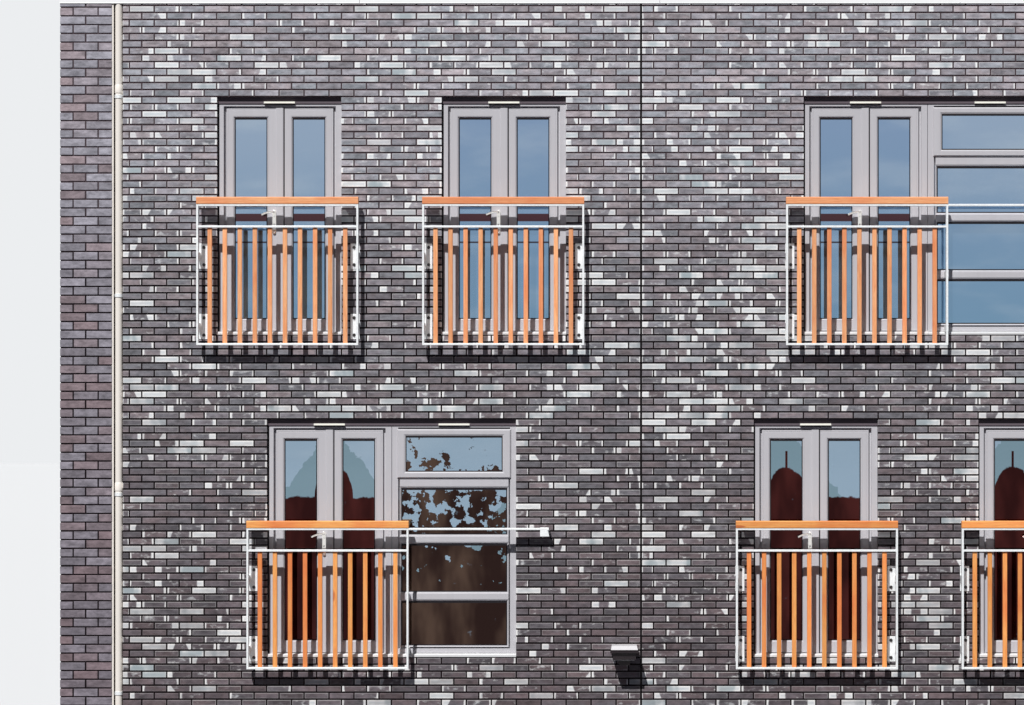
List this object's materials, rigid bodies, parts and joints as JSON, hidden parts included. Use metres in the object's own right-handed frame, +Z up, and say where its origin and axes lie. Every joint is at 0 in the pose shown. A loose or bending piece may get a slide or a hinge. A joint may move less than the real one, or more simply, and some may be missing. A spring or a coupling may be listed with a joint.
{
  "type": "three-storey brick apartment block",
  "caption": "Hollow brick apartment block on a rectangular plan, with French doors, coupled side windows, timber-slatted guard rails, parapet coping and slotted downpipes.",
  "frame": {"origin": "ground level, in the middle of the plan, on the underside of the ground slab", "axes": "+X to the right along the street front, +Y into the building (the street front faces -Y), +Z up"},
  "size_m": [10.584, 10.285, 8.8015],
  "materials": {
    "concrete": "smooth cast concrete",
    "patterned_brick": "dark violet-grey bricks with pale glazed patches",
    "plain_brick": "plain dark grey bricks",
    "coping_metal": "pale powder coat",
    "pipe_white": "white gloss paint",
    "bracket_steel": "dull galvanised",
    "lamp_white": "white stove enamel",
    "lamp_dark": "dark powder coat",
    "frame_grey": "light warm grey satin powder coat",
    "head_dark": "dark brown satin",
    "vent_cream": "cream moulding",
    "sill_pale": "pale satin",
    "window_glass": "clear sealed unit with a blue-grey reflection",
    "handle_cream": "satin cream",
    "entrance_paint": "dark satin",
    "galvanised": "hot-dip galvanised, dull",
    "timber": "oiled orange-brown hardwood"
  },
  "bodies": {
    "root": {"ground_slab": "concrete", "first_floor_slab": "concrete", "second_floor_slab": "concrete", "roof_slab": "concrete", "left_wall": "plain_brick", "right_wall": "plain_brick", "front_plinth": "patterned_brick", "front_piers_ground": "patterned_brick", "front_band_first": "patterned_brick", "front_piers_first": "patterned_brick", "front_band_second": "patterned_brick", "front_piers_second": "patterned_brick", "front_parapet": "patterned_brick", "rear_bands": "patterned_brick", "rear_piers": "patterned_brick", "slot_backings": "patterned_brick", "long_copings": "coping_metal", "side_copings": "coping_metal", "downpipes": "pipe_white", "pipe_brackets": "bracket_steel", "edge_strips": "pipe_white", "lamp_hood": "lamp_white", "lamp_body": "lamp_dark", "frame_jambs": "frame_grey", "frame_rails": "frame_grey", "head_strips": "head_dark", "trickle_vents": "vent_cream", "sills": "sill_pale", "door_leaves": "frame_grey", "door_glass": "window_glass", "cover_strips": "frame_grey", "door_handles": "handle_cream", "vent_sashes": "frame_grey", "vent_glass": "window_glass", "transoms": "frame_grey", "side_glass": "window_glass", "entrance_leaf": "entrance_paint", "entrance_glass": "window_glass", "guard_posts": "galvanised", "guard_flats": "galvanised", "guard_bar_ends": "galvanised", "guard_slats": "timber", "handrails": "timber", "guard_brackets": "galvanised", "guard_bars": "galvanised"}
  },
  "joints": []
}
